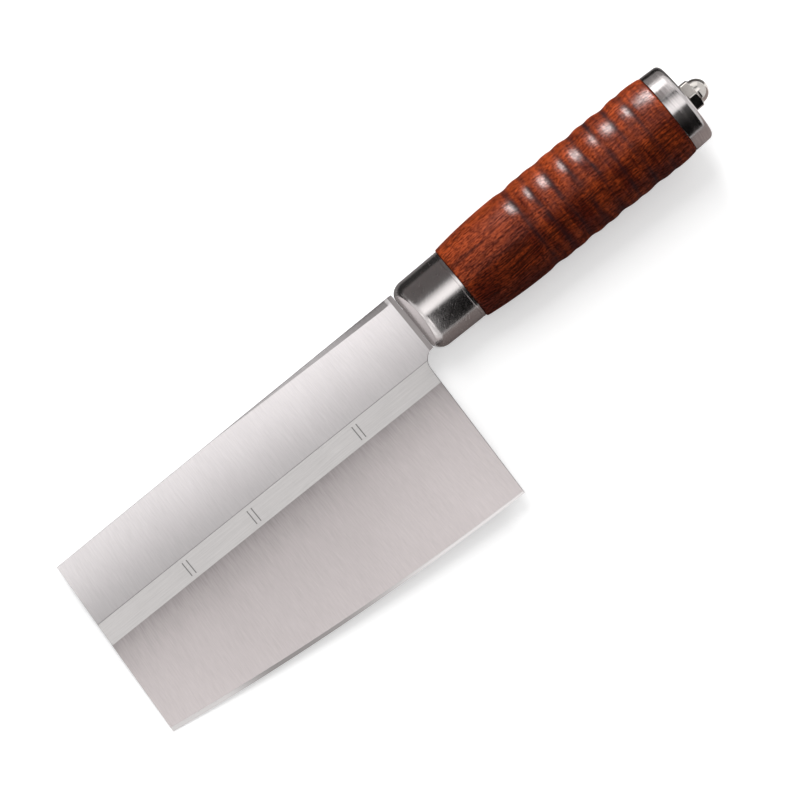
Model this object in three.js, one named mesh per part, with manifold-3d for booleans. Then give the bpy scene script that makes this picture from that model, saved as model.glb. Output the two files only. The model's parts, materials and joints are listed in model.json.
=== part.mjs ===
// Butcher knife: a straight-spined slicing cleaver with a ringed wooden handle drawn up by a dome nut.
// Millimetres. In the knife's own axes +X runs from tip to tail along the handle, +Y points to the
// spine and +Z out of one flank. The origin is where the handle's axis meets the face of the ferrule.
import * as THREE from "three";
import { mergeVertices } from "three/addons/utils/BufferGeometryUtils.js";
import Module from "manifold-3d";

const wasm = await Module();
wasm.setup();

// Fits
const fit = 0.25; // gap between neighbours that are pressed or glued together
const threadFit = 0.2; // radial play of the nut on its thread
const sides = 32; // flats round a turned piece
const threadSides = 16; // and round a thread

// Blade outline
const spineRise = 11.8; // spine above the handle's axis
const edgeReach = 148.2; // ferrule to the front end of the edge
const tipLean = 4.5; // the spine stops this much short of the edge
const tipDepth = 67; // spine to edge at the tip
const edgeFall = 12.4; // the edge falls this much from tip to heel
const heelReach = 7; // ferrule to the heel corner
const heelLean = THREE.MathUtils.degToRad(2.1);
const belly = 2.3; // bulge of the edge below its chord
const neckDepth = 22.5; // spine to the underside of the neck
const neckFlat = 0.04; // straight underside between the fillet and the ferrule
const neckCorner = 1;

// Blade grind
const stock = 2.8; // neck and tang
const heelThick = 2.5;
const tipThick = 1.9;
const bandTip = 23.6; // spine to the flat band at the tip
const bandHeel = 24.8; // spine to the flat band at the heel
const bandWide = 8.3;
const bandStep = 0.06; // the band stands this proud of the face above it
const bandEase = 0.15; // width of that step
const faceHollow = 0.08; // hollow of the face above the band
const bevelThick = 0.44; // behind the edge bevel
const edgeThick = 0.06;
const bevelTip = 1.6;
const bevelHeel = 0.9;
const spineBreak = 2.2; // broken spine corner at the neck, running out to nothing half way to the tip
const spineFall = 0.35; // slope of that corner
const plungeWide = 1.5; // run-out of the grind in front of the ferrule
const stationCount = 16; // steps of the grind along the blade
const hollowCount = 7; // and across its hollow

// Tang
const tangHalf = 5.5; // half depth of the flat tang
const tangReach = 26; // flat tang behind the ferrule's face
const rodRadius = 4;
const forkReach = 12; // the rod's forked end over the flat tang
const pitch = 1; // M6 thread
const threadRadius = 3;
const threadDepth = 0.54;
const rodBevel = 0.6;

// Ferrule
const ferruleLong = 20.5;
const ferruleFront = 13.25; // radius behind the nose
const ferruleRear = 13.45; // radius at the wood
const noseLong = 5; // rounded corner of the nose along the axis
const noseDeep = 4.15; // and across it
const noseSlope = THREE.MathUtils.degToRad(15.5); // each side of the nose falls away from the blade
const lipLong = 1.2; // plain lip behind a scored line
const scoreDeep = 0.15;
const ferruleWall = 1.25;
const ferruleFace = 6; // thickness of the closed front

// Grip
const gripLong = 88.5; // wood between ferrule and cap
const gripFront = 14;
const gripSwell = 15.6; // radius where the rings start
const gripFull = 16; // largest radius, near the tail
const gripTail = 15.4;
const swellLong = 25.5; // plain swelling front part
const tailRound = 7; // rounded tail of the grip
const gripEdge = 0.35; // eased rim at both ends
const frontCount = 7; // steps of the plain front part
const ringPitch = 14.15; // from one deep groove to the next
const ringCount = 4;
const ringStart = 29.4; // wood's front to the first deep groove
const deepGroove = { depth: 0.46, width: 8 };
const slimGroove = { depth: 0.2, width: 4.6 };
const resinRadius = 7;
const resinReach = 29.5; // resin behind the ferrule's face

// End cap
const capLong = 8.2;
const capFront = 15.3;
const capRear = 15.05;
const capCorner = 2.1;
const capCrown = 0.4; // dome of the end face
const capWall = 1.25;
const capEdge = 0.2;
const capFace = 2;
const seatRadius = 6.3; // flat under the nut

// Washer and nut
const washerRadius = 4.8;
const washerThick = 0.8;
const nutAcross = 10;
const hexLong = 3.4;
const hexTurn = THREE.MathUtils.degToRad(5);
const collarLong = 0.35;
const collarRadius = 4.65;
const domeRadius = 4.4;
const nutBevel = 0.4;
const boreReach = 5.6; // threaded depth of the nut
const boreLead = 0.1; // the bore opens this much at its mouth
const tangShort = 0.5; // the tang stops this much short of the bore's end

// Heel and neck. The fillet touches the heel line and ends just short of the ferrule.
const heelDepth = tipDepth + edgeFall;
const neckRoom = heelReach - fit - neckFlat - (heelDepth - neckDepth) * Math.tan(heelLean);
const neckRadius = neckRoom / (1 / Math.cos(heelLean) - Math.tan(heelLean));

// Places along the axis
const gripX = ferruleLong + fit;
const gripEnd = gripX + gripLong;
const capX = gripEnd + fit;
const capEnd = capX + capLong;
const nutX = capEnd + fit / 2;
const rodEnd = nutX + boreReach - tangShort;
const shoulderX = capEnd - capFace - 2 * fit; // the rod steps down to its thread inside the wood
const woodEnd = capEnd - capFace - fit;
const tenonFront = ferruleFace + fit;
const inFerrule = ferruleFront - ferruleWall;
const inCap = capFront - capWall;

// Geometry to solid and back
function solid(geometry) {
  const bare = geometry.clone();
  for (const name of ["normal", "uv"]) bare.deleteAttribute(name);
  const merged = mergeVertices(bare, 1e-4);
  return new wasm.Manifold(
    new wasm.Mesh({
      numProp: 3,
      vertProperties: merged.attributes.position.array,
      triVerts: new Uint32Array(merged.index.array),
    }),
  );
}

function geometryOf(body) {
  const mesh = body.getMesh();
  const geometry = new THREE.BufferGeometry();
  geometry.setAttribute("position", new THREE.BufferAttribute(mesh.vertProperties, 3));
  geometry.setIndex(new THREE.BufferAttribute(mesh.triVerts, 1));
  const flat = geometry.toNonIndexed();
  flat.computeVertexNormals();
  return flat;
}

// A piece turned about the handle's axis, from its outline as [along, radius] pairs. The outline runs
// from front to back on the outside and, where it is hollow, returns along the inside to its start.
function turned(outline, flats = sides) {
  const points = outline.map(([along, radius]) => new THREE.Vector2(radius, along));
  return solid(new THREE.LatheGeometry(points, flats).rotateZ(-Math.PI / 2));
}

function block(from, to) {
  const low = new THREE.Vector3(...from);
  const high = new THREE.Vector3(...to);
  const size = high.clone().sub(low);
  const middle = low.add(high).multiplyScalar(0.5);
  return solid(new THREE.BoxGeometry(size.x, size.y, size.z).translate(middle.x, middle.y, middle.z));
}

// Points of a quarter ellipse, without its first one
function corner(along, radius, lengthwise, across, from, to, steps = 6) {
  return Array.from({ length: steps }, (_, i) => {
    const turn = THREE.MathUtils.lerp(from, to, (i + 1) / steps);
    return [along + lengthwise * Math.cos(turn), radius + across * Math.sin(turn)];
  });
}

// A plate given by rows of [x, y, half thickness], alike on both flanks
function plate(rows) {
  const wide = rows[0].length;
  const count = rows.length * wide;
  const at = (row, i, side) => side * count + row * wide + i;
  const points = [];
  for (const side of [1, -1]) {
    for (const row of rows) for (const [x, y, half] of row) points.push(x, y, side * half);
  }
  const faces = [];
  const quad = (a, b, c, d) => faces.push(a, b, c, a, c, d);
  for (let r = 0; r + 1 < rows.length; r++) {
    for (let i = 0; i + 1 < wide; i++) {
      quad(at(r, i, 0), at(r + 1, i, 0), at(r + 1, i + 1, 0), at(r, i + 1, 0));
      quad(at(r, i, 1), at(r, i + 1, 1), at(r + 1, i + 1, 1), at(r + 1, i, 1));
    }
    quad(at(r, 0, 0), at(r, 0, 1), at(r + 1, 0, 1), at(r + 1, 0, 0));
    quad(at(r, wide - 1, 0), at(r + 1, wide - 1, 0), at(r + 1, wide - 1, 1), at(r, wide - 1, 1));
  }
  const last = rows.length - 1;
  for (let i = 0; i + 1 < wide; i++) {
    quad(at(0, i, 0), at(0, i + 1, 0), at(0, i + 1, 1), at(0, i, 1));
    quad(at(last, i, 0), at(last, i, 1), at(last, i + 1, 1), at(last, i + 1, 0));
  }
  const geometry = new THREE.BufferGeometry();
  geometry.setAttribute("position", new THREE.Float32BufferAttribute(points, 3));
  geometry.setIndex(faces);
  return solid(geometry);
}

// Blade
const tipX = (y) => -edgeReach + tipLean * ((y - (spineRise - tipDepth)) / tipDepth);

// Share of the way from the edge's front end to the heel
const share = (x) => (x + edgeReach) / (edgeReach - heelReach);

// The lines of the grind from spine to edge: [depth below the spine, half thickness] at each share
function grindLines() {
  const { lerp, clamp } = THREE.MathUtils;
  const body = (f) => lerp(tipThick, heelThick, f) / 2;
  const face = (f) => body(f) - bandStep;
  const broken = (f) => spineBreak * clamp(2 * f - 1, 0, 1);
  const bandTop = (f) => lerp(bandTip, bandHeel, f);
  const edge = (f) => lerp(tipDepth, heelDepth, f) + 4 * belly * f * (1 - f);
  const bevel = (f) => edge(f) - lerp(bevelTip, bevelHeel, f);
  const lines = [
    (f) => [0, face(f) - spineFall * broken(f)],
    (f) => [bandEase + broken(f), face(f)],
    ...[0.3, 0.5, 0.7].map((t) => (f) => [t * bandTop(f), face(f) - 4 * t * (1 - t) * faceHollow]),
    (f) => [bandTop(f) - bandEase, face(f)],
    (f) => [bandTop(f), body(f)],
  ];
  for (let i = 0; i <= hollowCount; i++) {
    const t = i / hollowCount;
    const half = (f) => lerp(bevelThick / 2, body(f), (1 - t) ** 2);
    lines.push((f) => [lerp(bandTop(f) + bandWide, bevel(f), t), half(f)]);
  }
  lines.push((f) => [edge(f), edgeThick / 2]);
  return lines;
}

function bladeSolid() {
  const plungeX = -fit - plungeWide;
  const rows = grindLines().map((line) => {
    const from = tipX(spineRise - line(0)[0]);
    const point = (x, flat) => {
      const [depth, half] = line(share(x));
      return [x, spineRise - depth, flat ?? half];
    };
    const ground = Array.from({ length: stationCount + 1 }, (_, i) =>
      point(from + ((plungeX - from) * i) / stationCount),
    );
    return [...ground, point(-fit, stock / 2), point(tangReach, stock / 2)];
  });
  return plate(rows).intersect(solid(bladeOutline()));
}

// What is left of the ground plate: neck, heel and flat tang. It stays clear of spine, tip and edge.
function bladeOutline() {
  const neckY = spineRise - neckDepth;
  const centreY = neckY - neckRadius;
  const heelX = (y) => -heelReach + (y - (spineRise - heelDepth)) * Math.tan(heelLean);
  const centreX = -fit - neckFlat;
  const clear = heelReach;
  const top = spineRise + clear;
  const low = spineRise - heelDepth - clear;
  const shape = new THREE.Shape();
  shape.moveTo(-edgeReach - clear, top);
  shape.lineTo(-edgeReach - clear, low);
  shape.lineTo(heelX(low), low);
  const turn = Math.PI - heelLean;
  shape.lineTo(centreX + neckRadius * Math.cos(turn), centreY + neckRadius * Math.sin(turn));
  shape.absarc(centreX, centreY, neckRadius, turn, Math.PI / 2, true);
  shape.lineTo(-fit, neckY);
  shape.lineTo(-fit, -tangHalf);
  shape.lineTo(tangReach + clear, -tangHalf);
  shape.lineTo(tangReach + clear, tangHalf);
  shape.lineTo(-fit, tangHalf);
  shape.absarc(-fit - neckCorner, spineRise - neckCorner, neckCorner, 0, Math.PI / 2, false);
  shape.lineTo(-fit - neckCorner, top);
  const options = { depth: 4 * stock, bevelEnabled: false, curveSegments: 8 };
  return new THREE.ExtrudeGeometry(shape, options).translate(0, 0, -2 * stock);
}

// A right-hand thread along the axis, longer than asked at both ends so that it can be trimmed
function thread(from, to, grow) {
  const flats = threadSides;
  const levels = [0, 0, threadDepth, threadDepth].map((cut) => threadRadius + grow - cut);
  const perTurn = levels.length;
  const start = Math.floor(from / pitch) - 2;
  const rows = perTurn * (Math.ceil(to / pitch) + 2 - start);
  const points = [];
  const index = (i, j) => (i === flats ? j + perTurn : j) * flats + (i % flats);
  for (let j = 0; j < rows + perTurn; j++) {
    for (let i = 0; i < flats; i++) {
      const angle = (2 * Math.PI * i) / flats;
      const radius = levels[j % perTurn];
      const along = (start + j / perTurn + i / flats) * pitch;
      points.push(along, radius * Math.cos(angle), radius * Math.sin(angle));
    }
  }
  const ends = points.length / 3;
  points.push((start - 1) * pitch, 0, 0, (start + rows / perTurn + 2) * pitch, 0, 0);
  const faces = [];
  for (let j = 0; j + 1 < rows; j++) {
    for (let i = 0; i < flats; i++) {
      const [a, b] = [index(i, j), index(i + 1, j)];
      const [c, d] = [index(i + 1, j + 1), index(i, j + 1)];
      faces.push(a, b, c, a, c, d);
    }
  }
  const rim = (j) => [
    ...Array.from({ length: flats }, (_, i) => index(i, j)),
    ...levels.map((_, i) => index(0, j + perTurn - i)),
  ];
  const low = rim(0);
  const high = rim(rows - 1);
  for (let k = 0; k < low.length; k++) {
    const next = (k + 1) % low.length;
    faces.push(ends, low[next], low[k], ends + 1, high[k], high[next]);
  }
  const geometry = new THREE.BufferGeometry();
  geometry.setAttribute("position", new THREE.Float32BufferAttribute(points, 3));
  geometry.setIndex(faces);
  return solid(geometry);
}

function rodSolid() {
  const front = tangReach - forkReach;
  const bar = turned([
    [front, 0],
    [front, rodRadius],
    [shoulderX - rodBevel, rodRadius],
    [shoulderX, rodRadius - rodBevel],
    [shoulderX, 0],
  ]);
  const tail = turned([
    [shoulderX - pitch, 0],
    [shoulderX - pitch, threadRadius],
    [rodEnd - rodBevel, threadRadius],
    [rodEnd, threadRadius - rodBevel],
    [rodEnd, 0],
  ]);
  const slot = block(
    [front - fit, -2 * rodRadius, -stock / 2 - fit],
    [tangReach + fit, 2 * rodRadius, stock / 2 + fit],
  );
  return bar.add(tail.intersect(thread(shoulderX - pitch, rodEnd, 0))).subtract(slot);
}

// Ferrule
function ferruleSolid() {
  const score = ferruleLong - lipLong;
  const body = turned([
    [0, 0],
    [0, ferruleFront - noseDeep],
    ...corner(noseLong, ferruleFront - noseDeep, noseLong, noseDeep, Math.PI, Math.PI / 2),
    [score - scoreDeep, ferruleRear],
    [score, ferruleRear - scoreDeep],
    [score + scoreDeep, ferruleRear],
    [ferruleLong - scoreDeep, ferruleRear],
    [ferruleLong, ferruleRear - scoreDeep],
    [ferruleLong, inFerrule],
    [ferruleFace, inFerrule],
    [ferruleFace, 0],
  ]);
  const slot = block(
    [-fit, -tangHalf - fit, -stock / 2 - fit],
    [ferruleFace + fit, tangHalf + fit, stock / 2 + fit],
  );
  const wide = 4 * ferruleFront;
  let nose = body.subtract(slot);
  for (const side of [1, -1]) {
    const wedge = new THREE.BoxGeometry(wide, wide, wide).translate(-wide / 2, 0, (side * wide) / 2);
    wedge.rotateY(side * noseSlope).translate(0, 0, (side * stock) / 2);
    nose = nose.subtract(solid(wedge));
  }
  return nose;
}

// Grip
function dip(x, middle, { depth, width }) {
  const away = Math.min(Math.abs(x - middle) / width, 0.5);
  return (depth / 2) * (1 + Math.cos(2 * Math.PI * away));
}

// Radius of the grip at a distance behind its front end
function gripRadius(x) {
  const { lerp, clamp } = THREE.MathUtils;
  const rise = 1 - (1 - clamp(x / swellLong, 0, 1)) ** 2.2;
  const fill = clamp((x - swellLong) / (gripLong - tailRound - swellLong), 0, 1);
  const fall = clamp((x - gripLong + tailRound) / tailRound, 0, 1) ** 2;
  let radius = lerp(gripFront, gripSwell, rise) + (gripFull - gripSwell) * fill;
  radius -= (gripFull - gripTail) * fall;
  for (let i = 0; i < ringCount; i++) {
    const middle = ringStart + i * ringPitch;
    radius -= dip(x, middle, deepGroove) + dip(x, middle + ringPitch / 2, slimGroove);
  }
  return radius;
}

function gripOutline() {
  const places = [gripEdge];
  for (let i = 1; i < frontCount; i++) places.push(swellLong * (i / frontCount) ** 1.5);
  const first = ringStart - deepGroove.width / 2;
  const step = ringPitch / 12;
  for (let x = first; x < gripLong - tailRound / 2; x += step) places.push(x);
  places.push(gripLong - tailRound / 4, gripLong - gripEdge);
  return [
    [gripX, gripFront - gripEdge],
    ...places.map((x) => [gripX + x, gripRadius(x)]),
    [gripEnd, gripTail - gripEdge],
  ];
}

function gripSolid() {
  const bore = rodRadius + fit;
  return turned([
    [tenonFront, resinRadius + fit],
    [tenonFront, inFerrule - fit],
    [gripX, inFerrule - fit],
    ...gripOutline(),
    [gripEnd, inCap - fit],
    [woodEnd, inCap - fit],
    [woodEnd, bore],
    [resinReach + fit, bore],
    [resinReach + fit, resinRadius + fit],
    [tenonFront, resinRadius + fit],
  ]);
}

function resinSolid() {
  const sleeve = turned([
    [tenonFront, 0],
    [tenonFront, resinRadius],
    [resinReach, resinRadius],
    [resinReach, 0],
  ]);
  const tang = block(
    [tenonFront - fit, -tangHalf - fit, -stock / 2 - fit],
    [tangReach + fit, tangHalf + fit, stock / 2 + fit],
  );
  const front = tangReach - forkReach - fit;
  const rod = turned([
    [front, 0],
    [front, rodRadius + fit],
    [resinReach + fit, rodRadius + fit],
    [resinReach + fit, 0],
  ]);
  return sleeve.subtract(tang).subtract(rod);
}

// End cap
function capSolid() {
  const round = capEnd - capCrown - capCorner;
  const bed = capEnd - washerThick - fit / 2;
  const hole = threadRadius + fit;
  return turned([
    [capX, inCap],
    [capX, capFront - capEdge],
    [capX + capEdge, capFront],
    [round, capRear],
    ...corner(round, capRear - capCorner, capCorner, capCorner, Math.PI / 2, 0),
    [capEnd, seatRadius],
    [capEnd, washerRadius + fit],
    [bed, washerRadius + fit],
    [bed, hole],
    [capEnd - capFace, hole],
    [capEnd - capFace, inCap],
    [capX, inCap],
  ]);
}

function washerSolid() {
  const hole = threadRadius + fit;
  return turned([
    [capEnd - washerThick, hole],
    [capEnd - washerThick, washerRadius],
    [capEnd, washerRadius],
    [capEnd, hole],
    [capEnd - washerThick, hole],
  ]);
}

// Dome nut
function nutSolid() {
  const round = nutAcross / Math.sqrt(3);
  const hexEnd = nutX + hexLong;
  const domeX = hexEnd + collarLong;
  const hex = new THREE.CylinderGeometry(round, round, hexLong, 6).rotateZ(-Math.PI / 2);
  hex.rotateX(hexTurn).translate(nutX + hexLong / 2, 0, 0);
  const blank = turned([
    [nutX, 0],
    [nutX, round - 2 * nutBevel],
    [nutX + nutBevel, round],
    [hexEnd - nutBevel, round],
    [hexEnd, round - 2 * nutBevel],
    [hexEnd, 0],
  ]);
  const dome = turned([
    [nutX + hexLong / 2, 0],
    [nutX + hexLong / 2, collarRadius],
    [domeX, collarRadius],
    [domeX, domeRadius],
    ...corner(domeX, 0, domeRadius, domeRadius, Math.PI / 2, 0, 8),
  ]);
  const bore = turned([
    [nutX - pitch, 0],
    [nutX - pitch, threadRadius + threadFit + boreLead],
    [nutX + boreLead, threadRadius + threadFit + boreLead],
    [nutX + boreReach, threadRadius + threadFit],
    [nutX + boreReach, 0],
  ]);
  const tapped = thread(nutX, nutX + boreReach, threadFit).intersect(bore);
  return solid(hex).intersect(blank).add(dome).subtract(tapped);
}

// Assembly
const steel = (color, roughness) => ({ color, roughness, metalness: 1 });
const knife = new THREE.Group();
for (const [name, body, look] of [
  ["blade", bladeSolid(), steel(0xc9c6c5, 0.35)],
  ["tang_rod", rodSolid(), steel(0x8f9092, 0.5)],
  ["front_ferrule", ferruleSolid(), steel(0xb8b6b4, 0.2)],
  ["wood_grip", gripSolid(), { color: 0x9c4a26, roughness: 0.45, metalness: 0 }],
  ["resin_fill", resinSolid(), { color: 0xc8b27a, roughness: 0.4, metalness: 0 }],
  ["end_cap", capSolid(), steel(0xb8b6b4, 0.25)],
  ["nut_washer", washerSolid(), steel(0xa9abad, 0.35)],
  ["dome_nut", nutSolid(), steel(0xc4c2ba, 0.15)],
]) {
  const mesh = new THREE.Mesh(geometryOf(body), new THREE.MeshStandardMaterial(look));
  mesh.name = name;
  knife.add(mesh);
}

// The knife lies on one flank: on the front corner of its edge, the ferrule's shoulder and the swell
// of the grip. This is the table's normal in the knife's own axes.
function tableNormal() {
  const rises = gripOutline().map(([x, radius]) => (radius - ferruleFront) / (x - noseLong));
  const rise = Math.atan(Math.max(...rises));
  const table = noseLong * Math.sin(rise) - ferruleFront * Math.cos(rise);
  const drop = (table + edgeReach * Math.sin(rise)) / Math.cos(rise);
  const roll = Math.asin(drop / (spineRise - tipDepth));
  return new THREE.Vector3(Math.tan(rise), Math.sin(roll), Math.cos(roll)).normalize();
}

knife.quaternion.setFromUnitVectors(tableNormal(), new THREE.Vector3(0, 0, 1));
const group = new THREE.Group();
group.add(knife);
group.updateMatrixWorld(true);
const box = new THREE.Box3().setFromObject(group, true);
const foot = box.getCenter(new THREE.Vector3()).setZ(box.min.z);
knife.position.sub(foot);

export default group;
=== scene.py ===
import json
import math

import bmesh
import bpy
import numpy as np
from mathutils import Matrix, Vector, noise


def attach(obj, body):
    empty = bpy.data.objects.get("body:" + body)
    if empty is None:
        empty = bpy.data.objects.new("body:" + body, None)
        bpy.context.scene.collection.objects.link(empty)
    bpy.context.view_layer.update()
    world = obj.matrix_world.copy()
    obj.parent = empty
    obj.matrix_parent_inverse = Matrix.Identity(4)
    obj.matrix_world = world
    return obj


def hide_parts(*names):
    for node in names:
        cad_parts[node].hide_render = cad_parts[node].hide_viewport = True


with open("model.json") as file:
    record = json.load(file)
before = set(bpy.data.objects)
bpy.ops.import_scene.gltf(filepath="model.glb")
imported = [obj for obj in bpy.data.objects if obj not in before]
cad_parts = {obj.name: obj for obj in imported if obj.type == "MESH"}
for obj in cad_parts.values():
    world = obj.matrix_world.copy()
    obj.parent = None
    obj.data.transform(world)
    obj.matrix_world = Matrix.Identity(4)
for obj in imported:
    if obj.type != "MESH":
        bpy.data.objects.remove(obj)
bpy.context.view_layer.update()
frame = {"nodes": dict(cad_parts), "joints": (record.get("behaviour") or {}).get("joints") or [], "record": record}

MM = 0.001
FIT = 0.25  # gap between neighbours

# Blade
SPINE_RISE, EDGE_REACH, TIP_LEAN = 11.8, 148.2, 4.5
TIP_DEPTH, HEEL_DEPTH, HEEL_REACH, HEEL_LEAN, BELLY = 67.0, 79.4, 7.0, math.radians(2.1), 2.3
NECK_DEPTH, NECK_FLAT, NECK_CORNER, NECK_GAP = 22.5, 0.04, 0.5, 0.07
STOCK, HEEL_THICK, TIP_THICK = 2.8, 2.5, 1.9
BAND_TIP, BAND_HEEL, BAND_WIDE, BAND_STEP, BAND_EASE = 23.6, 24.8, 8.3, 0.06, 0.15
FACE_HOLLOW, BEVEL_THICK, EDGE_THICK, BEVEL_TIP, BEVEL_HEEL = 0.08, 0.44, 0.06, 1.6, 0.9
SPINE_BREAK, SPINE_FALL, PLUNGE_WIDE, PLUNGE_ROUND = 2.2, 0.35, 1.5, 1.6
TANG_HALF, TANG_REACH, BORDER_ROUND, RIM_FADE = 5.5, 26.0, 0.2, 0.05
DIVIDER_PLACES, DIVIDER_HALF, DIVIDER_INSET, DIVIDER_FADE = (-109.62, -81.93, -37.15), 0.86, 1.3, 0.2

# Ferrule
FERRULE_LONG, FERRULE_FRONT, FERRULE_REAR = 20.5, 13.25, 13.45
NOSE_LONG, NOSE_DEEP, NOSE_SLOPE, NOSE_EASE = 5.0, 4.15, math.radians(15.5), 0.35
LIP_LONG, SCORE_DEEP, FERRULE_WALL, FERRULE_FACE = 1.2, 0.15, 1.25, 6.0

# Grip
GRIP_LONG, GRIP_FRONT, GRIP_SWELL, GRIP_FULL, GRIP_TAIL = 88.5, 14.0, 15.6, 16.0, 15.4
SWELL_LONG, TAIL_ROUND = 25.5, 7.0
RING_PITCH, RING_COUNT, RING_START = 14.15, 4, 29.4
DEEP_GROOVE, SLIM_GROOVE = (0.46, 8.0), (0.2, 4.6)
RING_WANDER, RING_UNEVEN, TOOL_MARKS, GRIP_CREEP, TENON_BEVEL = 0.9, 0.5, 0.05, 0.17, 0.4
RESIN_RADIUS, RESIN_REACH, ROD_RADIUS = 7.0, 29.5, 4.0

# Cap, washer, nut and thread
CAP_LONG, CAP_FRONT, CAP_REAR, CAP_CORNER, CAP_CROWN = 8.2, 15.3, 15.05, 2.1, 0.4
CAP_WALL, CAP_FACE, SEAT_RADIUS = 1.25, 2.0, 6.3
WASHER_RADIUS, WASHER_THICK = 4.8, 0.8
NUT_ACROSS, HEX_LONG, HEX_TURN, NUT_BEVEL = 10.0, 3.4, math.radians(5), 0.4
NUT_CORNER, NUT_FACE = 0.14, 0.3
COLLAR_LONG, COLLAR_RADIUS, DOME_RADIUS, BORE_REACH = 0.35, 4.65, 4.4, 5.6
THREAD_RADIUS, THREAD_DEPTH, PITCH, THREAD_PLAY, TANG_SHORT = 3.0, 0.54, 1.0, 0.25, 0.5
FORK_REACH, ROD_BEVEL = 12.0, 0.6

# Colours of the blade's faces, bevel, painted shade and marks, of the other steels, the resin and the wood
UPPER_FACE, LOWER_FACE, BAND_FACE = (0.574, 0.546, 0.549), (0.55, 0.503, 0.501), (0.525, 0.506, 0.501)
# The tip and heel bevel colours are painted highlights and the shaded bevel colour is painted shade
TIP_BEVEL_GLINT, HEEL_BEVEL_GLINT, SHADED_BEVEL = (0.72, 0.694, 0.688), (0.61, 0.587, 0.582), (0.31, 0.293, 0.288)
# The neck end and band rim colours are painted shade; the divider is a mark on the band
NECK_END_SHADE, BAND_RIM_SHADE, DIVIDER = (0.275, 0.252, 0.25), (0.16, 0.16, 0.16), (0.09, 0.09, 0.085)
FERRULE_STEEL, CAP_STEEL, WASHER_STEEL = (0.67, 0.632, 0.625), (0.6, 0.562, 0.558), (0.5, 0.5, 0.51)
PLATE_DARK, PLATE_LIGHT = (0.6, 0.562, 0.53), (0.74, 0.7, 0.665)
TANG_DARK, TANG_LIGHT = (0.27, 0.265, 0.26), (0.47, 0.465, 0.46)
RESIN_DARK, RESIN_LIGHT = (0.42, 0.28, 0.1), (0.62, 0.47, 0.22)
# The groove colour is painted shade in the grip's grooves; light and dark wood are also mixed by painted shade on
# its lower side
WOOD_LIGHT, WOOD_DARK, WOOD_GROOVE_SHADE = (0.38, 0.056, 0.0085), (0.105, 0.0105, 0.0028), (0.03, 0.0075, 0.0075)
WOOD_STREAK, WOOD_PORE, WOOD_FLECK = (0.045, 0.007, 0.0035), (0.022, 0.0042, 0.003), (0.026, 0.0048, 0.0035)
BLACK, WHITE = (0, 0, 0), (1, 1, 1)

NOSE_FLAT = FERRULE_FRONT - NOSE_DEEP
GRIP_X = FERRULE_LONG + FIT
GRIP_END = GRIP_X + GRIP_LONG
CAP_X = GRIP_END + FIT
CAP_END = CAP_X + CAP_LONG
NUT_X = CAP_END + FIT / 2
ROD_END = NUT_X + BORE_REACH - TANG_SHORT
SHOULDER_X = CAP_END - CAP_FACE - 2 * FIT
HEEL_Y = SPINE_RISE - HEEL_DEPTH
NECK_Y = SPINE_RISE - NECK_DEPTH
NECK_ROOM = HEEL_REACH - NECK_GAP - NECK_FLAT - (HEEL_DEPTH - NECK_DEPTH) * math.tan(HEEL_LEAN)
NECK_RADIUS = NECK_ROOM / (1 / math.cos(HEEL_LEAN) - math.tan(HEEL_LEAN))
THREAD_STEP = PITCH / 14

# The knife's axes in the frame, from the nut's joint and the flat band of the upper flank
nut_joint = next(j for j in frame["joints"] if j["name"] == "nut_turn")
flank_mount = next(m for m in frame["record"]["mounts"] if m["name"] == "upper_flank")
handle_axis = Vector(nut_joint["axis"]).normalized()
spine_axis = Vector(flank_mount["axis"]).cross(handle_axis).normalized()
flank_axis = handle_axis.cross(spine_axis)
ferrule_point = Vector(nut_joint["pos_m"]) - handle_axis * CAP_END * MM
KNIFE = Matrix((handle_axis, spine_axis, flank_axis)).transposed().to_4x4()
KNIFE.translation = ferrule_point


def lerp(low, high, share):
    return low + (high - low) * share


def smooth(share):
    share = np.clip(share, 0, 1)
    return share * share * (3 - 2 * share)


# Meshes
def ring_faces(rows, around, closed=True):
    """Quads of a skin whose rings follow each other, the last one joined to the first if closed."""
    faces = []
    for i in range(rows if closed else rows - 1):
        below = (i + 1) % rows
        for j in range(around):
            beside = (j + 1) % around
            faces.append((i * around + j, i * around + beside, below * around + beside, below * around + j))
    return faces


def add_piece(name, points, faces, node, body, slot, finish, sharp=28):
    """A closed skin in the knife's axes that stands for a solid and rides with its body."""
    skin = bmesh.new()
    corners = [skin.verts.new(KNIFE @ (Vector(p) * MM)) for p in points]
    for face in faces:
        skin.faces.new([corners[i] for i in face])
    bmesh.ops.remove_doubles(skin, verts=skin.verts, dist=1e-7)
    bmesh.ops.recalc_face_normals(skin, faces=skin.faces)
    mesh = bpy.data.meshes.new(name)
    skin.to_mesh(mesh)
    skin.free()
    mesh.polygons.foreach_set("use_smooth", [True] * len(mesh.polygons))
    mesh.set_sharp_from_angle(angle=math.radians(sharp))
    mesh.materials.append(finish)
    piece = bpy.data.objects.new(name, mesh)
    bpy.context.scene.collection.objects.link(piece)
    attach(piece, body)
    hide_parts(node)
    return piece


def eased(outline, steps=5):
    """A closed outline of (along, radius, ease) corners, rounded over each corner's ease."""
    places = [np.array(corner[:2], float) for corner in outline]
    line = []
    for i, here in enumerate(places):
        ease = outline[i][2]
        if not ease:
            line.append(here)
            continue
        back, ahead = (places[k] - here for k in (i - 1, (i + 1) % len(places)))
        start, stop = (here + ease * way / np.linalg.norm(way) for way in (back, ahead))
        for t in np.linspace(0, 1, steps + 1):
            line.append((1 - t) ** 2 * start + 2 * t * (1 - t) * here + t * t * stop)
    return np.array(line)


def full_turn(around):
    return np.arange(around) * 2 * math.pi / around


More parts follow.
